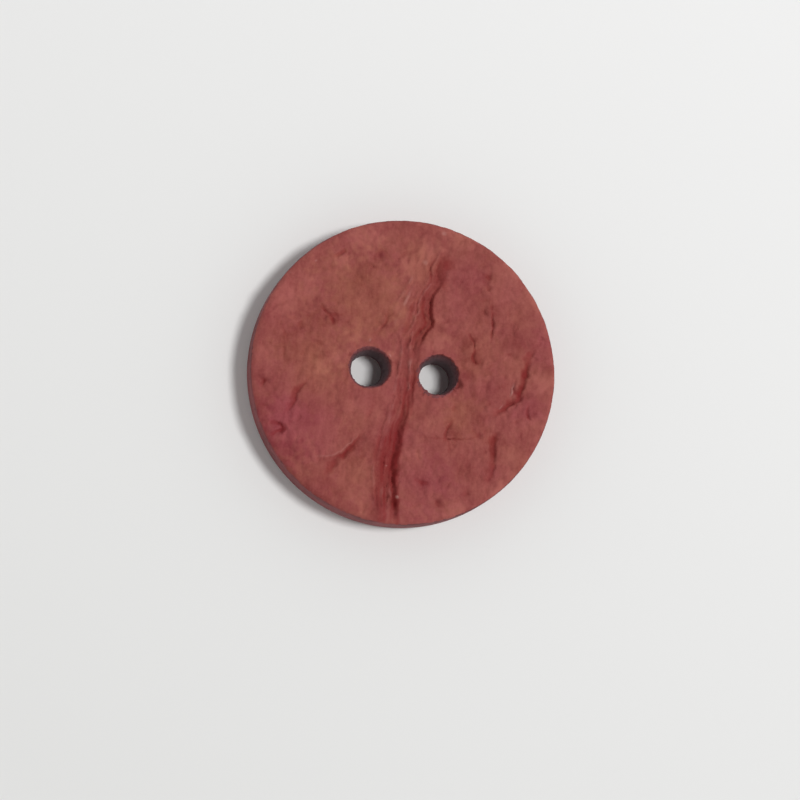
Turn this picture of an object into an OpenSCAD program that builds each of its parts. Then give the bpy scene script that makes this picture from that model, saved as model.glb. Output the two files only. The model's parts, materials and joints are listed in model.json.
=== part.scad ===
// Round two-hole sew-through button, cut from a hard dyed shell.
// The face keeps the shell's own skin: one long vein that runs down between
// the holes, cracks, pits and slightly raised plates. The back is sanded flat.
// The origin is the centre of the back, +X runs through both holes, +Y is up the
// face and +Z comes out of the face.

/* [Button] */
// Outside diameter
button_d = 20; // [15:0.5:34]
// Thickness, from the back to the highest level of the face
button_t = 2.8; // [2.2:0.1:5]
// Worn edge between the face and the wall
front_edge_r = 0.4; // [0.2:0.05:0.6]
// Rounding of the edge between the back and the wall
back_edge_r = 0.4; // [0.2:0.05:0.7]

/* [Thread holes] */
// Diameter of each hole, at the back
hole_d = 2.1; // [1.4:0.1:2.6]
// Distance between the centres of the holes
hole_spacing = 4.5; // [3.6:0.1:6]
// How much wider the radius of a hole is at the face
hole_flare = 0.25; // [0.1:0.05:0.4]
// Depth below the face over which a hole widens
hole_taper = 1.5; // [0.8:0.1:1.7]
// Rounding where a hole meets the back
hole_back_lip = 0.15; // [0.1:0.05:0.3]

/* [Vein] */
// Depth of the vein's crease
vein_depth = 0.5; // [0.2:0.05:0.8]
// Width of the steep side, right of the crease
vein_wall_w = 0.4; // [0.2:0.05:0.6]
// Width of the gentle side, left of the crease, where it is widest
vein_slope_w = 2; // [1:0.1:3]
// Height of the fibres that run along the gentle side
fibre_h = 0.07; // [0:0.01:0.15]
// Distance from one fibre to the next
fibre_pitch = 0.55; // [0.4:0.05:1]

/* [Skin] */
// Height of the waves of the skin over the whole face
swell_h = 0.3; // [0:0.02:0.4]
// Depth of the cracks where they are deepest
crack_depth = 0.3; // [0.1:0.02:0.5]
// Width of the cracks where they are deepest
crack_w = 0.36; // [0.2:0.02:0.8]
// Depth of the pits
pit_depth = 0.2; // [0.1:0.02:0.4]
// Height by which the loosened plates stand proud
plate_h = 0.1; // [0:0.02:0.2]

/* [Hidden] */
$fn = 96;

face_r = button_d / 2;
hole_r = hole_d / 2;
// Places on the face are given in hundredths of its radius, across and up
step = face_r / 100;
// Level of the skin where it is neither raised nor sunken
skin_z = button_t - plate_h - swell_h / 2;
// How far the drills run out of the solid, and the face block below it
run_out = 1;
// How far the wedges that open the cracks stand above the skin
crack_over = 0.2;
// Edge of the face block, in hundredths of the radius
block_reach = 104;
// Lowest and highest row of the face block
row_reach = 101;
// Rows of points up the face
face_rows = 64;
// Columns of points over the gentle side, left of it, over the steep side and right of it
slope_cols = 14;
left_cols = 12;
wall_cols = 4;
right_cols = 14;
face_cols = slope_cols + left_cols + wall_cols + right_cols;

// The right edge of the vein: place up the face, place across it
VEIN_LINE = [
    [-96, 8], [-90, 6], [-80, 5], [-70, 4], [-62, 3], [-57, 2], [-52, 4], [-45, 5], [-34, 4.5],
    [-27, 6], [-20, 8], [-5, 9], [8, 9], [15, 9.5], [20, 10.5], [24, 12], [28, 14], [32, 16.5],
    [35, 17.5], [37, 16.5], [43, 15], [50, 15], [54, 16.5], [58, 18.5], [61, 20.5], [64, 20.5],
    [70, 19], [76, 21], [84, 24], [104, 12]
];
// Share of its depth that the crease has on the way: place up the face, share
VEIN_SHARE = [
    [-96, 0], [-90, 0.6], [-84, 1], [-40, 1], [-32, 0.75], [-22, 0.55], [-12, 0.6], [-4, 0.35],
    [8, 0.3], [15, 0.4], [22, 0.65], [28, 0.75], [38, 0.8], [50, 0.85], [56, 0.6], [62, 0.6],
    [70, 0.4], [84, 0]
];
// Share of its width that the steep side has on the way: place up the face, share
VEIN_WALL = [
    [-90, 0.9], [-80, 1], [-60, 1.1], [-45, 1.1], [-36, 0.8], [-12, 0.8], [15, 0.7], [30, 0.6],
    [55, 0.6], [62, 1], [72, 1.5]
];
// Share of its width that the gentle side has on the way: place up the face, share
VEIN_REACH = [
    [-96, 0.5], [-60, 0.8], [-30, 0.65], [0, 0.6], [20, 0.8], [40, 1], [60, 0.9], [84, 0.5]
];
// Cracks: each is a row of points with its place across, its place up and its share of the depth
CRACKS = [
    [[84, 25, 0], [81, 18, 0.7], [80, 4, 1], [78, -5, 1], [74, -11, 0.8], [69, -16, 0.7], [63, -21, 0]],
    [[66, -31, 0], [64, -37, 1], [65, -50, 0.9], [65, -57, 0.6], [62, -68, 0]],
    [[52, 51, 0], [54, 44, 0.7], [55, 38, 0.5], [56, 29, 0]],
    [[39, 31, 0], [44, 25, 0.5], [44, 16, 0.8], [49, 10, 0]],
    [[84, -10, 0], [84, -17, 0.8], [87, -22, 0]],
    [[13, -40, 0], [32, -40, 0.6], [42, -39, 0.4], [55, -35, 0]],
    [[37, -25, 0], [33, -31, 0.7], [32, -37, 0.8], [35, -46, 0.3], [36, -53, 0]],
    [[-22, -41, 0], [-28, -52, 0.9], [-34, -59, 1], [-39, -64, 0.6], [-44, -74, 0]],
    [[-62, -14, 0], [-68, -21, 1], [-69, -28, 0.9], [-74, -37, 0]],
    [[-86, -46, 0], [-80, -43, 1], [-72, -44, 0]],
    [[-75, -41, 0], [-74, -47, 1], [-83, -53, 0]],
    [[-93, -15, 0], [-90, -17, 0.8], [-91, -22, 0]],
    [[-59, 37, 0], [-54, 32, 0.8], [-50, 29, 1], [-48, 24, 0]],
    [[-83, 20, 0], [-80, 15, 0.5], [-78, 10, 0]],
    [[13, -69, 0], [19, -70, 0.7], [26, -71, 0]],
    [[-14, 39, 0], [-16, 30, 0.8], [-20, 20, 0]]
];
// Pits: place across, place up, radius, share of the depth
PITS = [
    [49, 68, 4, 1], [51, 60, 3, 0.8], [-71, 22, 4, 0.7], [-23, 74, 4, 0.7], [32, -82, 4, 0.9],
    [49, -75, 5, 0.6], [37, -4, 4, 1], [36, -20, 3, 0.5], [53, -35, 3, 0.7], [-48, 73, 4, 0.5]
];
// Raised plates: place across, place up, radius, share of the height
PLATES = [
    [-48, -42, 30, 1], [22, 22, 26, 0.5], [28, -58, 34, 0.5], [92, 2, 26, 0.6], [-80, -28, 18, 0.6]
];
// Waves of the skin: turns in degrees per place across and up, start, share of the swell
WAVES = [
    [4.2, 2.6, 40, 0.22], [-3.1, 6.4, 110, 0.2], [8.1, 3.9, 0, 0.16], [-8.8, 6.3, 200, 0.14],
    [2.4, 12.4, 70, 0.1], [13.6, -5.1, 310, 0.1], [-10.3, -12.2, 150, 0.08]
];

// Runs smoothly from 0 to 1 as t does
function ease(t) = let (u = max(0, min(1, t))) u * u * (3 - 2 * u);

// Share of the swell at a place, from -1 to 1
function wave(p) = let (parts = [for (w = WAVES) w[3] * sin(w[0] * p[0] + w[1] * p[1] + w[2])])
    parts * [for (part = parts) 1];

// Fibres on the gentle side, at a distance left of the crease and a share of its width
function fibre(away, share) = fibre_h * sin(180 * share) * cos(360 * away / fibre_pitch);

// Widths of the steep and of the gentle side of the vein at a height up the face
function wall_width(up) = vein_wall_w * lookup(up, VEIN_WALL);
function slope_width(up) = vein_slope_w * lookup(up, VEIN_REACH);

// Place across the face of the vein's lowest line, at the foot of the steep side
function crease_place(up) = lookup(up, VEIN_LINE) - wall_width(up) / step;

// How far the vein sinks the skin at a place
function vein_dip(p) =
    let (away = (p[0] - crease_place(p[1])) * step)
    let (side_w = away < 0 ? slope_width(p[1]) : wall_width(p[1]))
    let (share = min(1, abs(away) / side_w))
    lookup(p[1], VEIN_SHARE) * (vein_depth * (1 - ease(share)) - (away < 0 ? fibre(away, share) : 0));

// Greatest share that a list of round spots has at a place
function spot(p, spots) = max([
    for (s = spots) s[3] * (1 - ease(norm([p[0] - s[0], p[1] - s[1]]) / s[2]))
]);

// Level of the skin at a place, before it cracked
function skin(p) = skin_z + swell_h / 2 * wave(p) + plate_h * spot(p, PLATES) - vein_dip(p);

// Place across the face of one column of a row: columns are spread from the crease to both edges
function column_place(col, up) =
    let (half = sqrt(block_reach * block_reach - up * up))
    let (crease = crease_place(up))
    let (slope = min(vein_slope_w / step, (half + crease) / 2))
    let (wall = min(1.3 * wall_width(up) / step, (half - crease) / 2))
    let (first_slope = left_cols)
    let (first_wall = first_slope + slope_cols)
    let (first_right = first_wall + wall_cols)
    col < first_slope ? -half + (half + crease - slope) * col / left_cols
    : col < first_wall ? crease - slope * (first_wall - col) / slope_cols
    : col < first_right ? crease + wall * (col - first_wall) / wall_cols
    : crease + wall + (half - crease - wall) * (col - first_right) / right_cols;

// The skin as a block that reaches past the button's edge and below its back
module face_block() {
    places = [
        for (row = [0 : face_rows])
            let (up = row_reach * (2 * row / face_rows - 1))
            for (col = [0 : face_cols]) [column_place(col, up), up]
    ];
    width = face_cols + 1;
    edge = [
        for (col = [0 : face_cols]) col,
        for (row = [1 : face_rows]) row * width + face_cols,
        for (col = [1 : face_cols]) face_rows * width + face_cols - col,
        for (row = [1 : face_rows - 1]) (face_rows - row) * width
    ];
    first_low = len(places);
    low = [for (k = [0 : len(edge) - 1]) first_low + k];
    middle = first_low + len(edge);
    polyhedron(
        points = [
            for (p = places) [p[0] * step, p[1] * step, skin(p)],
            for (k = edge) [places[k][0] * step, places[k][1] * step, -run_out],
            [0, 0, -run_out]
        ],
        faces = [
            for (row = [0 : face_rows - 1])
                for (col = [0 : face_cols - 1])
                    let (a = row * width + col)
                    let (b = a + 1)
                    let (c = b + width)
                    let (d = a + width)
                    each (row + col) % 2 == 0 ? [[a, d, c], [a, c, b]] : [[a, d, b], [d, c, b]],
            for (k = [0 : len(edge) - 1])
                let (next = (k + 1) % len(edge))
                each [[edge[k], edge[next], low[next], low[k]], [low[k], low[next], middle]]
        ]
    );
}

// The round blank: a rounded edge at the back, and at the face an edge worn in three flats
module blank() {
    wall_top = skin_z - front_edge_r;
    inner_r = face_r - front_edge_r;
    rotate_extrude() {
        translate([0, back_edge_r]) square([face_r, wall_top - back_edge_r]);
        square([face_r - back_edge_r, back_edge_r]);
        translate([face_r - back_edge_r, back_edge_r]) intersection() {
            circle(back_edge_r);
            translate([0, -back_edge_r]) square(back_edge_r);
        }
        polygon([
            [0, wall_top],
            for (turn = [0 : 30 : 90])
                [inner_r + front_edge_r * cos(turn), wall_top + front_edge_r * sin(turn)],
            [inner_r - 2 * (button_t - skin_z), button_t],
            [0, button_t]
        ]);
    }
}

// A row of points with its corners cut, so that it bends more softly
function softened(path) = [
    path[0],
    for (k = [0 : len(path) - 2])
        each [0.75 * path[k] + 0.25 * path[k + 1], 0.25 * path[k] + 0.75 * path[k + 1]],
    path[len(path) - 1]
];

// One section of a crack: its lowest point, its left and its right edge, square to the way it runs
function crack_section(crack, k) =
    let (p = crack[k])
    let (before = crack[max(0, k - 1)])
    let (after = crack[min(len(crack) - 1, k + 1)])
    let (way = [after[0] - before[0], after[1] - before[1]])
    let (run = way / norm(way))
    let (half = crack_w / 2 * (p[2] + crack_over / crack_depth))
    let (z = skin(p))
    [
        [p[0] * step, p[1] * step, z - crack_depth * p[2]],
        [p[0] * step - run[1] * half, p[1] * step + run[0] * half, z + crack_over],
        [p[0] * step + run[1] * half, p[1] * step - run[0] * half, z + crack_over]
    ];

// The wedge that opens one crack
module crack_cut(crack) {
    last = len(crack) - 1;
    polyhedron(
        points = [for (k = [0 : last]) each crack_section(crack, k)],
        faces = [
            [0, 1, 2],
            for (k = [0 : last - 1])
                for (side = [0 : 2])
                    let (a = 3 * k + side)
                    let (b = 3 * k + (side + 1) % 3)
                    each [[a, a + 3, b + 3], [a, b + 3, b]],
            [3 * last, 3 * last + 2, 3 * last + 1]
        ]
    );
}

// The ball that hollows one round of a pit
module hollow(p, reach, deep) {
    ball_r = (pow(reach * step, 2) + deep * deep) / (2 * deep);
    translate([p[0] * step, p[1] * step, skin(p) - deep + ball_r]) sphere(ball_r);
}

// One pit: a larger round and a smaller one beside it
module pit_cut(pit) {
    deep = pit_depth * pit[3];
    hollow([pit[0], pit[1]], pit[2], deep);
    hollow([pit[0] + 0.8 * pit[2], pit[1] - 0.5 * pit[2]], 0.7 * pit[2], 0.8 * deep);
}

// The rounded mouth of a hole at the back: a ring that opens towards -Z
module back_mouth() {
    lip = hole_back_lip;
    rotate_extrude() difference() {
        translate([0, -run_out]) square([hole_r + lip, run_out + lip]);
        translate([hole_r + lip, lip]) circle(lip);
        translate([hole_r, lip]) square([2 * lip, lip]);
    }
}

// One thread hole: a drilling that widens towards the face
module thread_hole() {
    mouth_r = hole_r + hole_flare * (1 + run_out / hole_taper);
    translate([0, 0, -run_out]) cylinder(h = button_t + 2 * run_out, r = hole_r);
    translate([0, 0, skin_z - hole_taper]) cylinder(h = hole_taper + run_out, r1 = hole_r, r2 = mouth_r);
    back_mouth();
}

module button() {
    color([0.56, 0.3, 0.28]) difference() {
        intersection() {
            blank();
            face_block();
        }
        for (side = [-1, 1]) translate([side * hole_spacing / 2, 0, 0]) thread_hole();
        for (crack = CRACKS) crack_cut(softened(softened(crack)));
        for (pit = PITS) pit_cut(pit);
    }
}

button();
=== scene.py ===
# %% [markdown]
# # A dyed shell button
# The object is one round sew-through button. It was sawn out of a piece of hard shell, drilled twice,
# sanded flat on the back and dyed red-brown. Its face keeps the shell's own skin, with a long vein,
# cracks and pits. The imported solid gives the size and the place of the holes, so the first cell loads it
# and measures it.

# %% Load the frame
import json
import math

import bpy
import numpy as np
from mathutils import Matrix, Vector, noise


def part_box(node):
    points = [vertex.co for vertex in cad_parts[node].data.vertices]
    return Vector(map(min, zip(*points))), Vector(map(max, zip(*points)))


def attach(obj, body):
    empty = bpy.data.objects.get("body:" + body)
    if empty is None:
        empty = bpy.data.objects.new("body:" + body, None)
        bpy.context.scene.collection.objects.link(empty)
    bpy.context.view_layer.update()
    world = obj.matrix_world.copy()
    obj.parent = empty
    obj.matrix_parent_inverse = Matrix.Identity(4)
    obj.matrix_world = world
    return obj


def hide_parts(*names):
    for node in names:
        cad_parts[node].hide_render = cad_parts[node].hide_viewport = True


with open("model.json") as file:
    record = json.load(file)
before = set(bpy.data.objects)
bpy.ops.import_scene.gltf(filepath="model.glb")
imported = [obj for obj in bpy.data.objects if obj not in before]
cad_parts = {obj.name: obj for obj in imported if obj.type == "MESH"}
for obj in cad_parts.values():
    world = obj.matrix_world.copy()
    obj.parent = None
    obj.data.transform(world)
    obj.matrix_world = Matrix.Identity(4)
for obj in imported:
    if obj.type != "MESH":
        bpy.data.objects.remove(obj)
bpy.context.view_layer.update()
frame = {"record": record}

MM = 0.001
low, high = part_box("button")
face_r = (high.x - low.x) / 2
top_z = high.z
bores = [m for m in frame["record"]["mounts"] if m["kind"] == "bore"]
hole_r = bores[0]["dims"]["r_mm"] * MM
hole_xs = [m["pos_m"][0] for m in bores]
print("button", round(2 * face_r / MM, 2), "mm across,", round(top_z / MM, 2), "mm thick")
print("holes", round(2 * hole_r / MM, 2), "mm wide at", [round(x / MM, 2) for x in hole_xs])

# %% [markdown]
# ## The camera
# The photograph looks almost straight down: the camera leans about 11 degrees towards the lower left of
# the picture, which is why a thin dark strip of the wall shows there. The picture is also turned a
# little, so the line through both holes drops to the right. A camera could be moved by eye until the
# picture fits. Here it is built from those two angles and from how many picture points one millimetre of
# the face takes, so each of them can be set by itself.

# %% Camera
IMAGE_PX = 800
PX_PER_MM = 15.39
FACE_CENTRE_PX = (403.7, 371.7)
SKIN_DROP = 0.14 * MM
LEAN = math.radians(10.8)
LEAN_TOWARDS = math.radians(220)
ROLL = math.radians(6.8)
CAMERA_AWAY = 300 * MM
SENSOR = 36
NEAREST = 10 * MM

across = Vector((math.cos(ROLL), math.sin(ROLL), 0))
upward = Vector((-math.sin(ROLL), math.cos(ROLL), 0))
lean_way = across * math.cos(LEAN_TOWARDS) + upward * math.sin(LEAN_TOWARDS)
to_camera = lean_way * math.sin(LEAN) + Vector((0, 0, math.cos(LEAN)))
turn = Vector((0, 0, 1)).rotation_difference(to_camera)
right_3d = turn @ across
up_3d = turn @ upward
off_right = (FACE_CENTRE_PX[0] - IMAGE_PX / 2) / PX_PER_MM * MM
off_up = (IMAGE_PX / 2 - FACE_CENTRE_PX[1]) / PX_PER_MM * MM
skin_middle = Vector((0, 0, top_z - SKIN_DROP))
place = skin_middle + to_camera * CAMERA_AWAY - right_3d * off_right - up_3d * off_up

bpy.ops.object.select_all(action="DESELECT")
bpy.ops.object.camera_add(location=place)
camera = bpy.context.object
camera.name = "photo_camera"
camera.rotation_euler = Matrix((right_3d, up_3d, to_camera)).transposed().to_euler()
camera.data.sensor_width = SENSOR
camera.data.lens = PX_PER_MM * SENSOR * CAMERA_AWAY / MM / IMAGE_PX
camera.data.clip_start = NEAREST
bpy.context.scene.camera = camera
print("camera", round(camera.data.lens, 1), "mm lens at", [round(c / MM, 1) for c in place])

# %% [markdown]
# ## The floor
# The button lies on a plain pale sheet. A large plane stands for it. Its colour is mixed lighter towards
# the upper right, which is painted light: it stands for light that falls off across the sheet. The plane
# lies a hair below the back of the button, because two surfaces at exactly the same height hide each other
# in patches. Every material is built from nodes, so the small helpers for nodes come first.

# %% Helpers for nodes
def feed(tree, socket, value):
    """Gives an input the output of another node, a colour or a plain value."""
    if isinstance(value, bpy.types.NodeSocket):
        tree.links.new(value, socket)
    elif socket.type == "RGBA":
        socket.default_value = (*value, 1)
    else:
        socket.default_value = value


def add_node(tree, kind, feeds, **settings):
    """Adds a node, sets its properties by name and feeds its inputs by name or number."""
    made = tree.nodes.new(kind)
    for name, value in settings.items():
        setattr(made, name, value)
    for name, value in feeds.items():
        feed(tree, made.inputs[name], value)
    return made


def spread_node(tree, source, low_in, high_in, low_out, high_out):
    """Spreads a value from one range to another."""
    feeds = {"Value": source, "From Min": low_in, "From Max": high_in}
    feeds |= {"To Min": low_out, "To Max": high_out}
    return add_node(tree, "ShaderNodeMapRange", feeds).outputs["Result"]


def mix_node(tree, factor, first, second, way="MIX"):
    """Mixes two colours."""
    feeds = {"Factor": factor, "A": first, "B": second}
    return add_node(tree, "ShaderNodeMix", feeds, data_type="RGBA", blend_type=way).outputs["Result"]


def matte_finish(name, roughness, shine):
    """Starts a matte material. Returns it with its tree, its shader and its object coordinates."""
    finish = bpy.data.materials.new(name)
    finish.use_nodes = True
    tree = finish.node_tree
    shader = tree.nodes["Principled BSDF"]
    feed(tree, shader.inputs["Roughness"], roughness)
    feed(tree, shader.inputs["Specular IOR Level"], shine)
    place = add_node(tree, "ShaderNodeTexCoord", {}).outputs["Object"]
    return finish, tree, shader, place


# %% Floor
FLOOR_SIZE = 3.0
FLOOR_GAP = 0.02 * MM
# Painted light: the sheet's colour runs from dim to bright across it, in place of light that falls off.
FLOOR_DIM = (0.745, 0.745, 0.735)
FLOOR_BRIGHT = (0.875, 0.875, 0.87)
FLOOR_SPREAD = 35 * MM
FLOOR_ROUGH = 0.9
FLOOR_SHINE = 0.5


def floor_finish():
    """Pale sheet with painted light: a little brighter towards the upper right of the picture."""
    finish, tree, shader, place = matte_finish("pale_sheet", FLOOR_ROUGH, FLOOR_SHINE)
    painted_light_way = (across + upward).normalized()
    along = add_node(tree, "ShaderNodeVectorMath", {0: place, 1: painted_light_way}, operation="DOT_PRODUCT")
    share = spread_node(tree, along.outputs["Value"], -FLOOR_SPREAD, FLOOR_SPREAD, 0, 1)
    feed(tree, shader.inputs["Base Color"], mix_node(tree, share, FLOOR_DIM, FLOOR_BRIGHT))
    return finish


bpy.ops.object.select_all(action="DESELECT")
bpy.ops.mesh.primitive_plane_add(size=FLOOR_SIZE, location=(0, 0, -FLOOR_GAP))
floor = bpy.context.object
floor.name = "floor"
floor.data.materials.append(floor_finish())
print("floor", FLOOR_SIZE, "m wide,", round(FLOOR_GAP / MM, 2), "mm below the back")

# %% [markdown]
# ## The glow all round
# Part of the light comes from all round, as in a pale room. A world background gives it. It is bright at
# the sides and dark overhead, because light from the sides doesn't reach down into holes and cracks, so
# they stay as dark as in the photograph. Where the camera or a reflection meets the background, it has
# one even level.

# %% Sky
SKY_TOP = 0.05
SKY_SIDE = 1.15
SKY_SEEN = 0.82
WHITE = (1, 1, 1)


def math_node(tree, way, first, second):
    """One calculation with two values."""
    return add_node(tree, "ShaderNodeMath", {0: first, 1: second}, operation=way).outputs["Value"]


world = bpy.data.worlds.new("even_glow")
world.use_nodes = True
bpy.context.scene.world = world
sky_tree = world.node_tree
sky = sky_tree.nodes["Background"]
sky_way = add_node(sky_tree, "ShaderNodeTexCoord", {}).outputs["Generated"]
sky_height = add_node(sky_tree, "ShaderNodeSeparateXYZ", {"Vector": sky_way}).outputs["Z"]
glow = spread_node(sky_tree, sky_height, 0, 1, SKY_SIDE, SKY_TOP)
rays = add_node(sky_tree, "ShaderNodeLightPath", {})
seen = math_node(sky_tree, "MAXIMUM", rays.outputs["Is Camera Ray"], rays.outputs["Is Glossy Ray"])
seen = math_node(sky_tree, "MAXIMUM", seen, rays.outputs["Is Transmission Ray"])
feed(sky_tree, sky.inputs["Strength"], spread_node(sky_tree, seen, 0, 1, glow, SKY_SEEN))
feed(sky_tree, sky.inputs["Color"], WHITE)
print("light of the sky on flat ground", round(SKY_SIDE / 3 + SKY_TOP * 2 / 3, 2))

# %% [markdown]
# ## The lamp
# The larger part of the light is one broad lamp, high up on the right. An area lamp could stand there,
# but then the floor would fade with distance. A sun with a wide angle lights floor and button the same
# everywhere, and its angle sets how soft the shadow's edge is. Together with the glow it gives a level at
# which a colour renders about as it is written.

# %% Lamp
LAMP_LIGHT = 0.58
LAMP_ELEVATION = math.radians(66.6)
LAMP_FROM = math.radians(1)
LAMP_WIDTH = math.radians(15)

lamp_floor_way = across * math.cos(LAMP_FROM) + upward * math.sin(LAMP_FROM)
to_lamp = lamp_floor_way * math.cos(LAMP_ELEVATION) + Vector((0, 0, math.sin(LAMP_ELEVATION)))
bpy.ops.object.light_add(type="SUN", location=to_lamp)
lamp = bpy.context.object
lamp.name = "broad_lamp"
lamp.rotation_euler = to_lamp.to_track_quat("Z", "Y").to_euler()
lamp.data.angle = LAMP_WIDTH
lamp.data.energy = LAMP_LIGHT * math.pi / math.sin(LAMP_ELEVATION)
bpy.context.scene.view_settings.view_transform = "Standard"
print("lamp", round(lamp.data.energy, 2), "at", round(math.degrees(LAMP_ELEVATION), 1), "degrees up")

# %% [markdown]
# ## The sheet of the face
# The skin is full of fine forms, so it needs an even net of small squares, about as small as one point of
# the picture. A grid primitive gives that. Everything outside the round face and inside the two holes is
# deleted, which leaves stepped borders. The next step makes them round.

# %% Helpers for meshes
def places_of(piece):
    """All vertices of a piece as rows of x, y, z."""
    co = np.empty(len(piece.data.vertices) * 3)
    piece.data.vertices.foreach_get("co", co)
    return co.reshape(-1, 3)


def put_places(piece, co):
    """Writes the rows of x, y, z back."""
    piece.data.vertices.foreach_set("co", co.ravel())
    piece.data.update()


def select_points(piece, chosen):
    """Selects exactly the chosen vertices. The piece has to be in object mode."""
    piece.data.polygons.foreach_set("select", np.zeros(len(piece.data.polygons), bool))
    piece.data.edges.foreach_set("select", np.zeros(len(piece.data.edges), bool))
    piece.data.vertices.foreach_set("select", chosen)


def away_from(co, x):
    """Distance of each vertex from the upright line through (x, 0)."""
    return np.hypot(co[:, 0] - x, co[:, 1])


# %% Face net
FRONT_EDGE = 0.42 * MM
MOUTH_FLARE = 0.27 * MM
MOUTH_LIP = 0.09 * MM
FACE_PITCH = 0.068 * MM
NET_MARGIN = 0.6
flat_r = face_r - FRONT_EDGE
mouth_r = hole_r + MOUTH_FLARE + MOUTH_LIP


def round_net(name, pitch, z, outer_r, opening_r):
    """Flat net of squares, cut to a round with an opening at each hole."""
    squares = round(2 * face_r / pitch)
    margin = NET_MARGIN * pitch
    bpy.ops.object.select_all(action="DESELECT")
    bpy.ops.mesh.primitive_grid_add(x_subdivisions=squares, y_subdivisions=squares, size=2 * face_r,
                                    location=(0, 0, z))
    net = bpy.context.object
    net.name = name
    bpy.ops.object.transform_apply(location=True, rotation=True, scale=True)
    co = places_of(net)
    spare = away_from(co, 0) > outer_r - margin
    for x in hole_xs:
        spare |= away_from(co, x) < opening_r + margin
    select_points(net, spare)
    bpy.ops.object.mode_set(mode="EDIT")
    bpy.ops.mesh.select_mode(type="VERT")
    bpy.ops.mesh.delete(type="VERT")
    bpy.ops.mesh.select_all(action="SELECT")
    bpy.ops.mesh.delete_loose(use_verts=True, use_edges=True, use_faces=False)
    bpy.ops.object.mode_set(mode="OBJECT")
    print(name, len(net.data.polygons), "squares")
    return net


button = round_net("shell_button", FACE_PITCH, top_z, flat_r, mouth_r)

# %% [markdown]
# ## Rim, wall and holes
# Each stepped border is extruded once and that new ring is drawn onto a true circle, so the rim and the
# mouths of the holes are round. From there the rest of the solid is pulled out as by hand: extrude the
# ring, scale it about its own centre, move it down, and again. A list of radius and height for each ring
# is all that a turned profile needs, so one helper serves the rim and both holes. The holes are a little
# wider at the face than at the back, as the drill left them. Every profile ends with a flat ring on the
# back.

# %% Profiles of rim and hole
BACK_EDGE = 0.4 * MM
BACK_LIP = 0.15 * MM
BACK_BORDER = 0.2 * MM
MOUTH_DEEP = 1.6 * MM
WALL_STEPS = 8
ROUND_STEPS = 6
LIP_STEPS = 3
MOUTH_RINGS = (0.12, 0.2, 0.35, 0.5, 0.75, 1)
BORE_RINGS = (0.25, 0.5, 0.75, 1)
back_r = face_r - BACK_EDGE - BACK_BORDER
back_opening_r = hole_r + BACK_LIP + BACK_BORDER
wall_top = top_z - FRONT_EDGE
mouth_foot = top_z - MOUTH_DEEP


def quarter(steps):
    """Angles of a quarter turn, without its start."""
    return [math.pi / 2 * (k + 1) / steps for k in range(steps)]


rim = [(flat_r + FRONT_EDGE * math.sin(a), wall_top + FRONT_EDGE * math.cos(a))
       for a in quarter(ROUND_STEPS)]
rim += [(face_r, wall_top + (BACK_EDGE - wall_top) * (k + 1) / WALL_STEPS) for k in range(WALL_STEPS)]
rim += [(face_r - BACK_EDGE + BACK_EDGE * math.cos(a), BACK_EDGE - BACK_EDGE * math.sin(a))
        for a in quarter(ROUND_STEPS)]
rim += [(back_r, 0)]
bore = [(mouth_r - MOUTH_LIP * math.sin(a), top_z - MOUTH_LIP + MOUTH_LIP * math.cos(a))
        for a in quarter(LIP_STEPS)]
bore += [(hole_r + MOUTH_FLARE * (1 - t), top_z - MOUTH_DEEP * t) for t in MOUTH_RINGS]
bore += [(hole_r, mouth_foot + (BACK_LIP - mouth_foot) * t) for t in BORE_RINGS]
bore += [(hole_r + BACK_LIP - BACK_LIP * math.cos(a), BACK_LIP - BACK_LIP * math.sin(a))
         for a in quarter(LIP_STEPS)]
bore += [(back_opening_r, 0)]
print("rings of the rim", len(rim), "rings of a hole", len(bore))

# %% Rings down to the back
HOLE_REACH = 1.2
RIM_REACH = 0.9


def border_points(piece):
    """Marks the vertices on edges that have only one face."""
    mesh = piece.data
    edge_of_corner = np.empty(len(mesh.loops), int)
    mesh.loops.foreach_get("edge_index", edge_of_corner)
    faces_on_edge = np.bincount(edge_of_corner, minlength=len(mesh.edges))
    ends = np.empty(len(mesh.edges) * 2, int)
    mesh.edges.foreach_get("vertices", ends)
    on_border = np.zeros(len(mesh.vertices), bool)
    on_border[ends.reshape(-1, 2)[faces_on_edge == 1].ravel()] = True
    return on_border


def pull_rings(piece, x, start_r, near, profile):
    """Draws the near part of the border onto a circle about x, then pulls ring after ring out of it."""
    select_points(piece, border_points(piece) & near)
    bpy.ops.object.mode_set(mode="EDIT")
    bpy.ops.mesh.extrude_region_move(TRANSFORM_OT_translate={"value": (0, 0, 0)})
    bpy.ops.object.mode_set(mode="OBJECT")
    co = places_of(piece)
    ring = np.empty(len(co), bool)
    piece.data.vertices.foreach_get("select", ring)
    centre = np.array([x, 0])
    out = co[ring, :2] - centre
    co[ring, :2] = centre + out / np.linalg.norm(out, axis=1)[:, None] * start_r
    put_places(piece, co)
    bpy.ops.object.mode_set(mode="EDIT")
    old_r, old_z = start_r, top_z
    for new_r, new_z in profile:
        bpy.ops.mesh.extrude_region_move(TRANSFORM_OT_translate={"value": (0, 0, new_z - old_z)})
        if new_r != old_r:
            share = new_r / old_r
            bpy.ops.transform.resize(value=(share, share, 1), center_override=(x, 0, 0))
        old_r, old_z = new_r, new_z
    bpy.ops.object.mode_set(mode="OBJECT")
    print("ring of", int(ring.sum()), "points at x", round(x / MM, 2), "mm")


pull_rings(button, 0, flat_r, away_from(places_of(button), 0) > flat_r * RIM_REACH, rim)
for x in hole_xs:
    pull_rings(button, x, mouth_r, away_from(places_of(button), x) < mouth_r * HOLE_REACH, bore)

# %% [markdown]
# ## The back
# The back is sanded flat. One face could close it, but a round face with two holes falls apart into long
# thin triangles, which shade badly. So the back gets a coarse net of its own, a little smaller than its
# border, and three fills join it to the flat rings at the rim and at the holes. Then the button is one
# closed skin.

# %% Back
BACK_PITCH = 0.4 * MM
round_net("back_net", BACK_PITCH, 0, back_r, back_opening_r)
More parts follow.
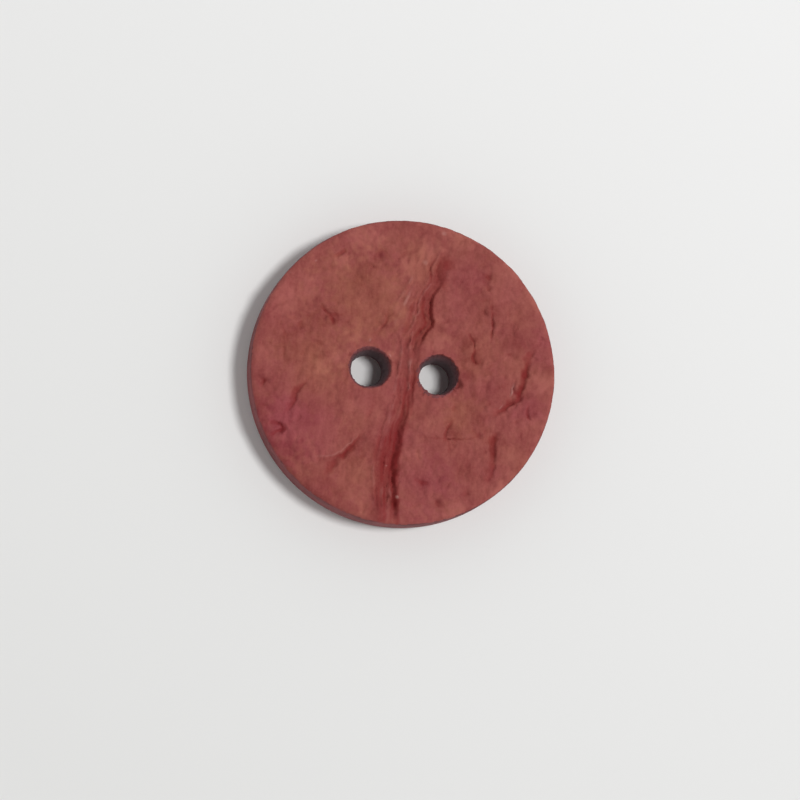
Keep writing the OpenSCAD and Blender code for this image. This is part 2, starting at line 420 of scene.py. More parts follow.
# The new net is still selected, so the button only has to be added and made the active one.
button.select_set(True)
bpy.context.view_layer.objects.active = button
bpy.ops.object.join()
co = places_of(button)
outer = away_from(co, 0) > face_r / 2
for part in (outer, ~outer & (co[:, 0] < 0), ~outer & (co[:, 0] > 0)):
    select_points(button, border_points(button) & part)
    bpy.ops.object.mode_set(mode="EDIT")
    bpy.ops.mesh.fill(use_beauty=True)
    bpy.ops.object.mode_set(mode="OBJECT")
bpy.ops.object.mode_set(mode="EDIT")
bpy.ops.mesh.select_all(action="SELECT")
bpy.ops.mesh.normals_make_consistent(inside=False)
bpy.ops.object.mode_set(mode="OBJECT")
print("open points left", int(border_points(button).sum()))

# %% [markdown]
# ## The relief of the skin
# This is what makes the button look like itself. Every form of the skin is a weight from 0 to 1 at each
# vertex: how close it is to the vein's crease, to a crack, to a pit. A sculptor would paint these weights
# with a brush. Here a short list of points per form draws them, in hundredths of the face's radius, and a
# Displace modifier with that weight group pushes the skin up or down by a depth in millimetres. The
# places are first shaken a little by a smooth noise, so no crack runs straight.

# %% Shaken places
STEP = face_r / 100
SHAKE = 0.8
FINE_SHARE = 0.5
SHAKE_SIZES = (0.6, 0.25)
ROUGH_SIZE = 0.4
SKIN_DEEP = 1.2 * MM
SEED_SHIFT = (7.3, 3.1, 5.7)


def ease(t):
    """Runs smoothly from 0 to 1 as t does."""
    t = np.clip(t, 0, 1)
    return t * t * (3 - 2 * t)


def wander(rows, seed):
    """Smooth noise of about -1 to 1 at each row of x, y, z."""
    shift = Vector([seed * s for s in SEED_SHIFT])
    return np.array([noise.noise(Vector(p) + shift) for p in rows])


def lumpy(co, size_mm, seed):
    """Smooth noise with lumps of that size at each vertex."""
    return wander(co / (size_mm * MM), seed)


def shaken(co, axis, seeds):
    """Places along one axis in hundredths of the radius, moved a little by two noises."""
    coarse, fine = [lumpy(co, size_mm, seed) for size_mm, seed in zip(SHAKE_SIZES, seeds)]
    return co[:, axis] / STEP + SHAKE * coarse + FINE_SHARE * SHAKE * fine


def patchy(lumps, middle, reach, least, most):
    """Turns a noise into a factor about a middle value, kept between two limits."""
    return np.clip(middle + reach * lumps, least, most)


co = places_of(button)
px = shaken(co, 0, (1, 3))
py = shaken(co, 1, (2, 4))
rough = patchy(lumpy(co, ROUGH_SIZE, 9), middle=1, reach=1, least=0.7, most=1.5)
on_face = ease((co[:, 2] - (top_z - SKIN_DEEP)) / SKIN_DEEP)
print("points", len(co), "on the face", int((on_face > 0.5).sum()))

# %% Helpers that draw weights
LEAST_WEIGHT = 1e-4


def read(table, up):
    """Reads a table of (place up the face, value) at each vertex."""
    keys, values = zip(*table)
    return np.interp(up, keys, values)


def line_weight(points, left_mm, right_mm):
    """Weight of a line through points of (across, up, share), with a width on its left and its right."""
    best = np.zeros(len(px))
    for (ax, ay, a_share), (bx, by, b_share) in zip(points, points[1:]):
        run_x, run_y = bx - ax, by - ay
        t = np.clip(((px - ax) * run_x + (py - ay) * run_y) / (run_x ** 2 + run_y ** 2), 0, 1)
        gap_x, gap_y = px - ax - t * run_x, py - ay - t * run_y
        width = np.where(run_x * gap_y - run_y * gap_x > 0, left_mm, right_mm) * MM / STEP
        share = a_share + t * (b_share - a_share)
        best = np.maximum(best, share * (1 - ease(np.hypot(gap_x, gap_y) * rough / width)))
    return best


def lines_weight(lines):
    """Highest weight of many lines, each (left width, right width, points)."""
    return np.max([line_weight(points, left, right) for left, right, points in lines], axis=0)


def spots_weight(spots):
    """Highest weight of many round spots, each (across, up, radius, share)."""
    return np.max([s * (1 - ease(np.hypot(px - x, py - y) * rough / r)) for x, y, r, s in spots], axis=0)


def push(piece, name, weight, depth, lumps=None):
    """Moves vertices along Z by depth times their weight, or by a texture of lumps that high."""
    group = piece.vertex_groups.new(name=name)
    for index in np.flatnonzero(weight > LEAST_WEIGHT):
        group.add([int(index)], float(weight[index]), "REPLACE")
    modifier = piece.modifiers.new(name, "DISPLACE")
    modifier.direction = "Z"
    modifier.strength = depth
    modifier.vertex_group = name
    modifier.mid_level = 0
    if lumps:
        modifier.texture = lumps
        modifier.texture_coords = "LOCAL"
        modifier.mid_level = 0.5
    bpy.ops.object.modifier_apply(modifier=name)
    piece.vertex_groups.remove(piece.vertex_groups[name])


print("one step of the lists is", round(STEP / MM, 2), "mm")

# %% [markdown]
# ### The vein
# One long vein crosses the face from top to bottom. Seen across, it is a valley: from the left it falls
# gently, and on the right it ends at a steep wall, whose top edge is the crease. It could be sculpted
# with one long stroke, but its depth and its widths change all the way. So tables give its line, depth
# and widths from the lower end to the upper one, and one formula turns them into a weight.

# %% Valley of the vein
VEIN_LINE = [
    (-96, 8), (-90, 7), (-80, 6), (-70, 4.2), (-62, 4.2), (-57, 4.2), (-52, 5), (-45, 5.2), (-38, 6),
    (-34, 6.5), (-27, 8), (-20, 8), (-5, 9), (8, 9), (15, 9.5), (20, 10.5), (24, 12), (28, 14), (32, 16.5),
    (35, 17.5), (37, 16.5), (43, 15), (50, 15), (54, 16.5), (58, 18.5), (61, 20.5), (64, 20.5), (70, 19),
    (76, 21), (84, 24),
]
VEIN_SHARE = [
    (-97, 0), (-93, 0.6), (-86, 1), (-40, 1), (-32, 0.75), (-22, 0.55), (-12, 0.6), (-4, 0.35), (8, 0.3),
    (15, 0.4), (22, 0.65), (28, 0.75), (38, 0.76), (50, 0.78), (56, 0.6), (62, 0.6), (70, 0.4), (84, 0),
]
VEIN_WALL = [
    (-90, 0.35), (-80, 0.4), (-60, 0.45), (-45, 0.45), (-36, 0.48), (-26, 0.48), (-12, 0.32), (15, 0.28),
    (30, 0.24), (55, 0.24), (62, 0.4), (72, 0.6),
]
VEIN_SLOPE = [(-96, 1.0), (-60, 1.6), (-30, 1.3), (0, 1.2), (20, 1.6), (40, 2.0), (60, 1.8), (84, 1.0)]
across_vein = (px - read(VEIN_LINE, py)) * STEP / MM
wall_w = read(VEIN_WALL, py)
from_foot = across_vein + wall_w
vein_w = np.where(from_foot < 0, read(VEIN_SLOPE, py), wall_w)
vein_share = read(VEIN_SHARE, py)
vein = vein_share * (1 - ease(np.abs(from_foot) / vein_w))
print("steep side of the vein", wall_w.min().round(2), "to", wall_w.max().round(2), "mm wide")

# %% [markdown]
# ### The fibres of the vein
# The floor of the vein is combed into long fibres. Painting each one would take hundreds of lines, so a
# noise drawn out along the vein combs the whole floor, up and down by the same amount. Only the clearest
# fibres and furrows of the photograph are lines of their own.

# %% Fibres of the vein
VEIN_DEPTH = 0.5 * MM
FIBRE_HEIGHT = 0.14 * MM
STREAK_HEIGHT = 0.11 * MM
DEEPEST = 0.7 * MM
# Each row of streaks: width and length in mm, share, seed.
STREAKS = [(0.24, 3.0, 1, 5), (0.12, 1.6, 0.6, 6)]
COMBED_W, COMBED_FADE = 2.4, 1.2
CREASE_CLEAR, CREASE_FADE = 0.25, 0.3
COMBED_END, COMBED_END_FADE = 70, 24
RIDGES = [
    (0.17, 0.17, [(-1, 64, 0.2), (-4, 56, 0.8), (-8, 47, 0.7), (-11, 38, 0)]),
    (0.15, 0.15, [(11.5, 60, 0.2), (9, 55, 0.8), (6, 48, 0.6), (4.5, 42, 0)]),
    (0.18, 0.18, [(10, 51, 0.6), (8.5, 45, 1), (4, 36, 1), (3, 25, 0.8), (2.5, 17, 1), (3.5, 0, 1),
                  (4.5, -10, 0.9), (2.5, -17, 0)]),
    (0.18, 0.18, [(0, 56, 0.4), (-5, 43, 0.9), (-9.5, 31, 0.5), (-11, 22, 0)]),
    (0.15, 0.15, [(4.5, 54, 0.3), (0.5, 46, 0.8), (-1.5, 38, 0)]),
    (0.17, 0.17, [(-2, 30, 0.2), (-3, 20, 0.7), (-2.5, 8, 0.7), (-3.5, -4, 0.6), (-4.5, -14, 0.2)]),
    (0.17, 0.17, [(-5, -23, 0.3), (-6, -37, 0.8), (-6.5, -44, 0.8), (-7.5, -52, 0.2)]),
    (0.1, 0.1, [(-1, -66, 0.2), (0, -75, 0.6), (1, -84, 0.8), (1.5, -90, 0.3)]),
    (0.12, 0.12, [(-5.5, -66, 0.3), (-5, -78, 0.8), (-4, -90, 0.4)]),
    (0.15, 0.15, [(-14, -58, 0.2), (-13, -70, 0.6), (-11, -82, 0.5), (-9, -92, 0)]),
]
FURROWS = [
    (0.12, 0.12, [(-6.5, -50, 0.2), (-6.2, -57, 0.5), (-6, -63, 0.2)]),
    (0.12, 0.12, [(-3, -66, 0.4), (-2.5, -74, 1), (-2, -82, 1), (-1.5, -91, 0.4)]),
    (0.13, 0.13, [(-10.5, -70, 0.3), (-9.5, -80, 1), (-7.5, -91, 0.4)]),
    (0.15, 0.15, [(-14, 39, 0.2), (-16, 30, 1), (-18.5, 25, 0.5), (-20, 20, 0)]),
    (0.12, 0.12, [(5.5, 6, 0.2), (6, -6, 0.7), (7, -12, 0.9), (6.5, -22, 0.4)]),
    (0.25, 0.25, [(-2.5, 0, 0.2), (-2.5, -8, 0.8), (-0.5, -16, 0.8), (-1.5, -26, 0.6), (-5, -34, 0.2)]),
    (0.35, 0.35, [(2, 51, 0.2), (1, 44, 0.8), (0, 36, 0.7), (-2, 27, 0.6), (-3, 18, 0)]),
]


def combed(wide_mm, long_mm, seed):
    """Smooth noise drawn out along the vein, with lumps of that width and length."""
    return wander(np.stack([across_vein / wide_mm, py * STEP / (long_mm * MM), 0 * px], 1), seed)


streaks = sum(share * combed(wide_mm, long_mm, seed) for wide_mm, long_mm, share, seed in STREAKS)
in_vein = ease((across_vein + COMBED_W) / COMBED_FADE)
in_vein *= 1 - ease((across_vein + CREASE_CLEAR) / CREASE_FADE)
in_vein *= 1 - ease((np.abs(py) - COMBED_END) / COMBED_END_FADE)
ridges = lines_weight(RIDGES)
furrows = lines_weight(FURROWS)
fall = VEIN_DEPTH * vein - STREAK_HEIGHT * np.clip(streaks, -1, 1) * in_vein
push(button, "vein", np.clip(fall / DEEPEST, 0, 1) * on_face, -DEEPEST)
push(button, "ridges", ridges * on_face, FIBRE_HEIGHT)
push(button, "furrows", furrows * on_face, -FIBRE_HEIGHT)
print("vein falls", round(fall.max() / MM, 2), "mm, fibres and furrows", len(RIDGES) + len(FURROWS))

# %% [markdown]
# ### Cracks and hairlines
# As the shell dried, its skin split. The larger cracks are lines with a share at each point, so they fade
# out at their ends, and a noise breaks them up. A width of its own on each side makes a crack steep on
# one side and gentle on the other. The many faint hairlines have no place that matters, so dice draw
# them, mostly in the vein's direction. The dice start from a fixed number, so every run draws the same.

# %% Cracks and hairlines
CRACK_DEPTH = 0.22 * MM
HAIR_DEPTH = 0.2 * MM
BROKEN_SIZE = 0.7
HAIRLINES = 110
HAIR_REACH = 92
HAIR_TURN = 2.4
HAIR_SPREAD = 0.9
HAIR_BOW = 0.7
HAIR_LONG = (3, 9)
HAIR_WIDE = (0.1, 0.22)
HAIR_SHARE = (0.15, 0.5)
CRACKS = [
    (0.18, 0.5, [(85.5, 26, 0), (82, 20, 0.8), (80.5, 12, 1), (80, 4, 1), (78.5, -3, 1), (77, -9, 1),
                 (73, -12, 0.9), (69, -16, 0.9), (63, -20.5, 0.4), (60, -23, 0)]),
    (0.24, 0.5, [(66.5, -31, 0), (64, -36, 0.9), (64.5, -43, 1), (65, -50, 0.9), (65.5, -56, 0.6),
                 (63.5, -62, 0.5), (62, -68, 0)]),
    (0.15, 0.15, [(52, 52, 0), (54, 44, 0.9), (55, 38, 0.8), (55, 29, 0.4), (54, 25, 0)]),
    (0.16, 0.16, [(38, 33, 0), (41, 28, 0.6), (44, 25, 0.8), (44.5, 19, 0.6), (44, 14.5, 0.9),
                  (47, 11.5, 0.9), (49, 11, 0)]),
    (0.1, 0.1, [(13, -40, 0), (22, -40.5, 0.3), (32, -40, 0.6), (42, -39.5, 0.4), (50, -37.5, 0.3),
                (55, -35, 0)]),
    (0.2, 0.2, [(36.5, -25, 0), (33.5, -31, 0.7), (31.5, -36, 0.8), (32, -41, 0.4)]),
    (0.13, 0.13, [(34, -41, 0.3), (35, -46, 0.4), (36, -53, 0)]),
    (0.45, 0.12, [(-22, -41, 0), (-28, -52, 0.9), (-34, -58.5, 1), (-39, -61.5, 0.5), (-50, -63.5, 0)]),
    (0.4, 0.4, [(-35, -60, 0.2), (-38.5, -64, 0.7), (-42, -69, 0.7), (-45, -75, 0)]),
    (0.18, 0.4, [(-62.5, -14.5, 0), (-66, -19, 0.9), (-69, -22, 0.9), (-68, -27, 1), (-70, -31, 0.7),
                 (-73.5, -37, 0)]),
    (0.2, 0.2, [(-84, -45, 0.2), (-80, -43, 1), (-76, -44, 1), (-73.5, -46.5, 1), (-76, -48.5, 0.9),
                (-80, -51, 0.7), (-83.5, -52.5, 0)]),
    (0.2, 0.2, [(-93, -15.5, 0), (-90, -17, 0.8), (-90.5, -20.5, 0.3)]),
    (0.16, 0.16, [(-59, 37, 0), (-56, 33.5, 0.7), (-52, 31, 0.9), (-50, 28.5, 1), (-48.5, 24.5, 0)]),
    (0.14, 0.14, [(-52, 31, 0.6), (-45, 31.5, 0.5), (-40.5, 34.5, 0)]),
    (0.16, 0.16, [(-83, 20, 0), (-80.5, 16, 0.5), (-78.5, 11, 0)]),
    (0.2, 0.2, [(-57, 68.5, 0), (-51, 71, 0.6), (-47.5, 73.5, 0.7), (-46, 74.5, 0)]),
    (0.2, 0.2, [(14, -69.5, 0), (18, -70, 0.7), (23, -70.5, 0.6), (26, -71, 0)]),
    (0.15, 0.15, [(84, -10, 0), (83.5, -15, 0.7), (84.5, -19, 1), (86.5, -21.5, 0)]),
    (0.13, 0.13, [(64.5, 19.5, 0), (67, 20, 0.5), (70, 21, 0)]),
    (0.2, 0.2, [(-16, -19, 0), (-18.5, -28, 0.4), (-22, -38, 0)]),
    (0.7, 0.6, [(28, 76, 0), (21, 74, 0.6), (16, 71, 0.7), (16, 66, 0.7), (18, 61, 0.5)]),
]


def draw_hairline(dice, k):
    """One short bent line at a drawn distance from the middle, in the next direction round the face."""
    round_way = np.array([math.cos(k * HAIR_TURN), math.sin(k * HAIR_TURN)])
    x, y = HAIR_REACH * math.sqrt(dice.random()) * round_way
    way = dice.normal(math.pi / 2, HAIR_SPREAD)
    long = dice.uniform(*HAIR_LONG)
    bow = way + dice.normal(0, HAIR_BOW)
    near = (x - long * math.cos(way), y - long * math.sin(way), 0)
    far = (x + long * math.cos(bow), y + long * math.sin(bow), 0)
    wide = dice.uniform(*HAIR_WIDE)
    return wide, wide, [near, (x, y, dice.uniform(*HAIR_SHARE)), far]


dice = np.random.default_rng(7)
broken = patchy(lumpy(co, BROKEN_SIZE, 8), middle=0.9, reach=0.6, least=0.5, most=1.1)
cracks = lines_weight(CRACKS) * broken
hairs = lines_weight([draw_hairline(dice, k) for k in range(HAIRLINES)])
push(button, "cracks", cracks * on_face, -CRACK_DEPTH)
push(button, "hairs", hairs * on_face, -HAIR_DEPTH)
print("cracks", len(CRACKS), "hairlines", HAIRLINES)

# %% [markdown]
# ### Pits, chips and plates
# Small pits dot the skin, and the edge of the right hole is chipped. Between the cracks the skin stands
# up in plates. The clearest one is at the lower left, and its edge rises to a thin lip. Round spots are
# enough for pits, chips and plates, and lines for the lips.

# %% Pits, chips and plates
PIT_DEPTH = 0.2 * MM
CHIP_DEPTH = 0.4 * MM
PLATE_LIFT = 0.1 * MM
LIP_LIFT = 0.08 * MM
PITS = [
    (48, 69, 4, 1), (50, 61, 3, 0.8), (-70.5, 22, 3.5, 0.6), (-24, 74, 4, 0.6), (-27, 72.5, 3, 0.4),
    (32, -83, 4, 0.6), (49, -74, 5, 0.4), (35.5, -19, 3.5, 0.5), (53, -35.5, 3, 0.5), (59, -13, 3.5, 0.3),
]
CHIPS = [(35.6, -4.5, 4, 1), (14, -13, 2, 0.4), (-11, 6, 2, 0.4), (-36, 6, 2, 0.3)]
PLATES = [
    (-48, -42, 30, 1), (22, 22, 26, 0.5), (28, -58, 34, 0.5), (92, 2, 26, 0.6), (-80, -28, 18, 0.6),
]
PLATE_LIP = [
    (-25, -44, 0), (-29, -50.5, 0.8), (-34, -56, 1), (-39, -59.5, 1), (-46, -61.5, 0.7), (-53, -62, 0),
]
LIPS = [
    (0.12, 0.16, PLATE_LIP),
    (0.1, 0.1, [(73, 2, 0), (72.5, -2, 0.8), (72, -6, 1), (71, -8, 0)]),
    (0.14, 0.14, [(-64.5, -14, 0), (-68.5, -18.5, 0.7), (-71.5, -22, 0.7), (-71, -27, 0.3)]),
]
pits = spots_weight(PITS) * broken
chips = spots_weight(CHIPS)
push(button, "pits", pits * on_face, -PIT_DEPTH)
push(button, "chips", chips * on_face, -CHIP_DEPTH)
push(button, "plates", spots_weight(PLATES) * on_face, PLATE_LIFT)
push(button, "lips", lines_weight(LIPS) * on_face, LIP_LIFT)
print("pits", len(PITS), "chips", len(CHIPS), "plates", len(PLATES))

# %% [markdown]
# ### Swell and grain
# Between the named forms the skin is uneven at every size. A sum of a few long waves, the same as in the
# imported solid, gives the swell. Displace modifiers with cloud textures give the grain, each finer and
# lower than the one before.

# %% Swell and grain
SWELL = 0.3 * MM
# Each wave: degrees per step across and up, degrees at the middle, share.
WAVES = [
    (4.2, 2.6, 40, 0.22), (-3.1, 6.4, 110, 0.2), (8.1, 3.9, 0, 0.16), (-8.8, 6.3, 200, 0.14),
    (2.4, 12.4, 70, 0.1), (13.6, -5.1, 310, 0.1), (-10.3, -12.2, 150, 0.08),
]
# Each grain: size of a lump and height in mm, kind of noise.
GRAIN = [(1.2, 0.3, "HARD_NOISE"), (0.55, 0.14, "HARD_NOISE"), (0.24, 0.07, "SOFT_NOISE")]
flat = co / STEP
wave = sum(s * np.sin(np.radians(a * flat[:, 0] + b * flat[:, 1] + start)) for a, b, start, s in WAVES)
push(button, "waves", (0.5 + 0.5 * wave) * on_face, SWELL)
for k, (size_mm, height_mm, kind) in enumerate(GRAIN):
    lumps = bpy.data.textures.new(f"lumps_{k}", "CLOUDS")
    lumps.noise_scale = size_mm * MM
    lumps.noise_depth = 1
    lumps.noise_type = kind
    lumps.noise_basis = "ORIGINAL_PERLIN"
    push(button, f"grain_{k}", on_face, height_mm * MM, lumps)
print("waves", len(WAVES), "sizes of grain", len(GRAIN))

# %% [markdown]
# ### Worn peaks
# Handling has worn the highest grains down. So what stands above a level near the middle of the skin is
# pressed together, the more the higher it stands. Then the whole skin is lowered until its highest point
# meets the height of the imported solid.

# %% Worn peaks and level
FULL_SKIN = 0.99
PEAK_START = 0.04 * MM
PEAK_KEEP = 0.08 * MM
MOST_WORN = 1.0 * MM
LEVEL_CLEAR = 0.005 * MM
skin = on_face > FULL_SKIN
skin_z = places_of(button)[:, 2]
above = (skin_z - np.median(skin_z[skin]) - PEAK_START) * skin
worn = np.where(above > 0, above - PEAK_KEEP * (1 - np.exp(-above / PEAK_KEEP)), 0)
push(button, "worn", np.clip(worn / MOST_WORN, 0, 1) * on_face, -MOST_WORN)
over = places_of(button)[:, 2].max() - top_z
push(button, "level", on_face, -over - LEVEL_CLEAR)
highest = places_of(button)[:, 2].max()
print("highest point", round(highest / MM, 3), "mm, solid", round(top_z / MM, 3), "mm")

# %% [markdown]
# ### Worn edges
# The drill tore small bits out of the mouths of the holes, wear took more from one side of each mouth,
# and the rim is not perfectly even either. The rings near the face are pushed in or out by a noise that
# changes round the ring. The rim only ever goes inwards, so the button keeps its diameter.

# %% Ragged mouths and rim
# Each row of tears: size of a lump and height in mm, seed.
MOUTH_TORN = [(0.5, 0.11, 11), (0.16, 0.07, 12)]
MOUTH_WEAR = 0.11 * MM
# For each mouth: the way to its worn side, and the least share on the far side.
MOUTH_WORN = [(0, 0), (math.radians(45), -0.6)]
MOUTH_REACH = 0.3 * MM
DEEP_SHARE = 0.35
FACE_FADE = 1.0 * MM
RIM_WEAR = 0.03 * MM
RIM_STRIP = 0.5 * MM
RIM_FADE = 0.4 * MM
# Each row of lumps on the rim: size in mm, share, seed.
RIM_LUMPS = [(1.2, 1, 13), (0.3, 0.7, 14)]
TINY = 1e-6
co = places_of(button)
before = co.copy()
near_face = ease((co[:, 2] - (top_z - SKIN_DEEP)) / FACE_FADE)
for x, (worn_way, least) in zip(hole_xs, MOUTH_WORN):
    out = co[:, :2] - np.array([x, 0])
    dist = np.linalg.norm(out, axis=1)
    close = (1 - ease((dist - mouth_r) / MOUTH_REACH)) * (DEEP_SHARE + (1 - DEEP_SHARE) * near_face)
    ragged = sum(height_mm * MM * lumpy(co, size_mm, seed) for size_mm, height_mm, seed in MOUTH_TORN)
    turned = np.arctan2(out[:, 1], out[:, 0]) - worn_way
    ragged += MOUTH_WEAR * np.clip(np.cos(turned), least, 1)
    co[:, :2] += out / np.maximum(dist, TINY)[:, None] * (ragged * close)[:, None]
dist = np.linalg.norm(co[:, :2], axis=1)
at_rim = ease((dist - (face_r - RIM_STRIP)) / RIM_FADE) * near_face
lumps_round = sum(share * lumpy(co, size_mm, seed) for size_mm, share, seed in RIM_LUMPS)
uneven = 0.5 + 0.5 * np.clip(lumps_round, -1, 1)
co[:, :2] *= (1 - RIM_WEAR * at_rim * uneven / np.maximum(dist, TINY))[:, None]
put_places(button, co)
print("edges moved by up to", round(np.linalg.norm(co - before, axis=1).max() / MM, 2), "mm")

# %% [markdown]
# ## The dye, with painted shade and highlights
# The dye soaked in unevenly: some patches are pinkish, some browner. Other patches are lighter or
# darker. Many of the darker spots sit on cracks, pits and furrows and are painted shade there; the other
# patches are tone of the dye. A painter would dab such patches on a texture. Here vertex attributes carry
# them into the material, drawn by the same helpers as the relief: one says how brown a point is, and one
# how light or shaded. Painted shade also follows the rim at the lower left, the side turned away from the
# lamp, and a darker band follows the left side of the vein's lower part.

# %% Patches of the dye and painted shade
TONE_REACH = 0.58
BROWN = [
    (-30, 45, 45, 0.8), (-60, 0, 36, 0.7), (-25, -72, 26, 0.7), (45, 20, 26, 0.5), (42, -25, 20, 0.6),
    (75, -50, 20, 0.4), (5, 70, 26, 0.4),
]
PINK = [
    (-72, -45, 36, 1), (-48, -45, 26, 0.6), (18, -72, 32, 0.6), (2, -45, 20, 0.5), (35, 68, 22, 0.4),
    (88, 25, 18, 0.5), (84, -15, 16, 0.4),
]
LIGHT = [
    (-82, 38, 16, 0.9), (-68, 46, 12, 0.7), (-36, 84, 16, 1), (-48, 66, 10, 0.8), (-12, 55, 6, 0.5),
    (-9, 40, 5, 0.6), (-9, 32, 4, 0.5), (-4, 68, 10, 0.9), (8, 80, 14, 1), (26, 92, 14, 0.8),
    (-54, -4, 10, 0.9), (-44, 4, 10, 0.9), (-32, 20, 10, 0.6), (-10, 10, 6, 0.9), (22, 24, 9, 1),
    (21, 38, 6, 0.7), (24, 60, 4, 0.7), (3, 14, 4, 0.4), (92, 4, 10, 1), (90, -24, 10, 0.8),
    (80, 58, 12, 0.7), (62, 74, 12, 0.6), (44, -88, 12, 0.9), (16, -54, 10, 0.7), (22, -30, 10, 0.4),
    (-66, -36, 8, 0.6), (-26, -26, 6, 0.3), (-13, -30, 5, 0.6), (76, -48, 10, 0.5), (70, -72, 12, 0.6),
    (-22, -86, 14, 0.5), (-72, 72, 12, 0.5),
]
# Many darker spots sit on cracks, pits and furrows: there they are painted shade, elsewhere tone of the
# dye.
DARK = [
    (76, -4, 6, 0.7), (80, 9, 5, 0.7), (64, -42, 5, 0.6), (65, -57, 6, 0.4), (63, -64, 5, 0.4),
    (42, 57, 12, 0.35), (-78, -46, 7, 0.7), (12, 66, 7, 0.6), (20, 73, 6, 0.6), (1, 41, 4, 0.7),
    (-3, 28, 4, 0.6), (-39, -65, 5, 0.6), (-18, -47, 9, 0.5), (-13, -60, 8, 0.5), (-22, -55, 7, 0.6),
    (-9, -27, 5, 0.5), (45, 14, 7, 1), (41, 2, 7, 0.9), (57, -6, 13, 0.5), (52, -24, 11, 0.5),
    (48, 68, 6, 0.8), (54, 46, 9, 0.6), (70, 30, 15, 0.4), (40, 26, 8, 0.4), (37, -36, 7, 0.6),
    (-80, 10, 15, 0.6), (-58, 26, 12, 0.6), (-49, 30, 6, 0.8), (-92, -14, 8, 0.7), (-72, 20, 7, 0.5),
    (-23, 74, 6, 0.7), (-60, -40, 15, 0.35), (-70, -60, 13, 0.6), (-40, -82, 15, 0.5),
    (28, -56, 8, 0.5), (46, -58, 10, 0.5), (20, -69, 8, 0.5), (50, -74, 6, 0.5), (32, -82, 6, 0.6),
    (34, 60, 7, 0.4), (7, -35, 4, 0.5), (-3, -26, 4, 0.6), (9, -26, 3, 0.6), (-1, -16, 3, 0.5),
    (-4, -6, 3, 0.5), (0, 37, 4, 0.5), (-2, 51, 5, 0.5),
]
# Painted shade: the first line darkens the rim at the lower left, which is turned away from the lamp. The
# second darkens the left side of the vein's lower part.
PAINTED_SHADES = [
    (1.0, 1.0, [(-96, -26, 0), (-92, -38, 0.6), (-82, -57, 0.7), (-64, -77, 0.7), (-42, -91, 0.6),
                (-20, -98, 0)]),
    (0.8, 0.8, [(-7, -36, 0), (-9, -46, 0.6), (-9, -62, 0.6), (-8, -82, 0.7), (-6, -97, 0.7)]),
]


def attribute(piece, name, values):
    """Stores one number per vertex under a name that a material can read."""
    made = piece.data.attributes.new(name, "FLOAT", "POINT")
    made.data.foreach_set("value", np.clip(values, 0, 1))


# The second attribute carries lighter and darker tone, with painted shade from the dark spots and lines.
dark = np.maximum(spots_weight(DARK), lines_weight(PAINTED_SHADES))
attribute(button, "brown", 0.5 + 0.5 * spots_weight(BROWN) - 0.5 * spots_weight(PINK))
attribute(button, "tone_and_shade", 0.5 + TONE_REACH * spots_weight(LIGHT) - TONE_REACH * dark)
print("light patches", len(LIGHT), "dark patches", len(DARK))

# %% [markdown]
# ### Deep red and painted shade in the crevices
# A deep red is painted into every crevice, most of all along the vein: on the steep wall, at its foot,
# and in a band of streaks to the left of it. It is partly dye that gathered there and partly painted
# shade, for the little light that reaches down into crevices and onto the steep wall, which is turned
# away from the lamp. A material could find crevices by itself, but that looks the same everywhere. The
# weights of the relief already say where each one is, so every form gets its own share of red.

# %% Dye and painted shade in the crevices
VEIN_FOOT = [(-96, 0.35), (-64, 0.45), (-50, 0.65), (-40, 0.6), (-30, 0.4)]
VEIN_BAND = [
    (-96, 2.0), (-80, 2.2), (-62, 2.3), (-46, 2.5), (-41, 2.0), (-30, 1.7), (-20, 1.6), (0, 1.5), (20, 1.7),
    (40, 2.0), (60, 1.7), (72, 1.4), (80, 1.6),
]
VEIN_TONE = [
    (-98, 0.9), (-88, 1), (-48, 1.1), (-38, 1.1), (-20, 1.2), (-8, 0.9), (4, 0.2), (18, 0.35), (28, 0.9),
    (50, 0.9), (64, 0.9), (75, 0.7), (82, 0),
]
WALL_FULL, WALL_FADE = 0.5, 0.6
BAND_FULL = 0.25
CREASE_SOFT = 0.2
# Painted shade as well as dye: the vein's steep wall, turned away from the lamp, and its foot get deep red.
left_of_foot = 1 - ease(-from_foot / read(VEIN_FOOT, py))
up_the_wall = 1 - ease((from_foot - wall_w * WALL_FULL) / (wall_w * WALL_FADE))
wall_red_and_shade = vein_share ** 2 * broken * np.where(from_foot < 0, left_of_foot, up_the_wall)
band = read(VEIN_TONE, py) * (1 - ease((-across_vein / read(VEIN_BAND, py) - BAND_FULL) / (1 - BAND_FULL)))
band *= 1 - ease((across_vein + CREASE_SOFT / 2) / CREASE_SOFT)
band *= patchy(streaks, middle=0.8, reach=-1.1, least=0, most=1.5)
# Each form's share of deep red, partly dye and partly painted shade.
RED_AND_SHADE_SHARES = [
    (wall_red_and_shade, 1), (band, 0.65), (furrows, 0.45), (cracks, 0.8), (hairs, 0.35), (pits, 0.6), (chips, 0.2),
]
crevice_red_and_shade = np.max([form * share for form, share in RED_AND_SHADE_SHARES], axis=0) * on_face
attribute(button, "crevice_red_and_shade", crevice_red_and_shade)
print("points that are mostly deep red", int((crevice_red_and_shade > 0.5).sum()))

# %% [markdown]
# ### Pale specks and painted glints
# In a few places the dye is rubbed off and pale shell shows as specks. Along broken stretches of the
# vein's fibres the pale colour is partly paler fibre and partly painted highlight, and the thin glints on
# raised edges that face the lamp are painted highlights. Bright lamps could make such glints, but on a
# matte skin they are painted in colour, so they get an attribute of their own.

# %% Pale specks and painted glints
FIBRE_PALE_AND_HIGHLIGHT = 0.22
FIBRE_BREAKS = (0.5, 0.7)
LIP_HIGHLIGHT = 0.16
PALE = [
    (5.2, -81.5, 1.2, 1), (-4, -62, 1.1, 0.5), (16.5, 93.5, 1.8, 0.35), (6.5, 73, 2, 0.25),
    (-24, 17.5, 1.3, 0.35), (-10.5, 9, 1.1, 0.5), (-65, 65, 1.3, 0.35),
]
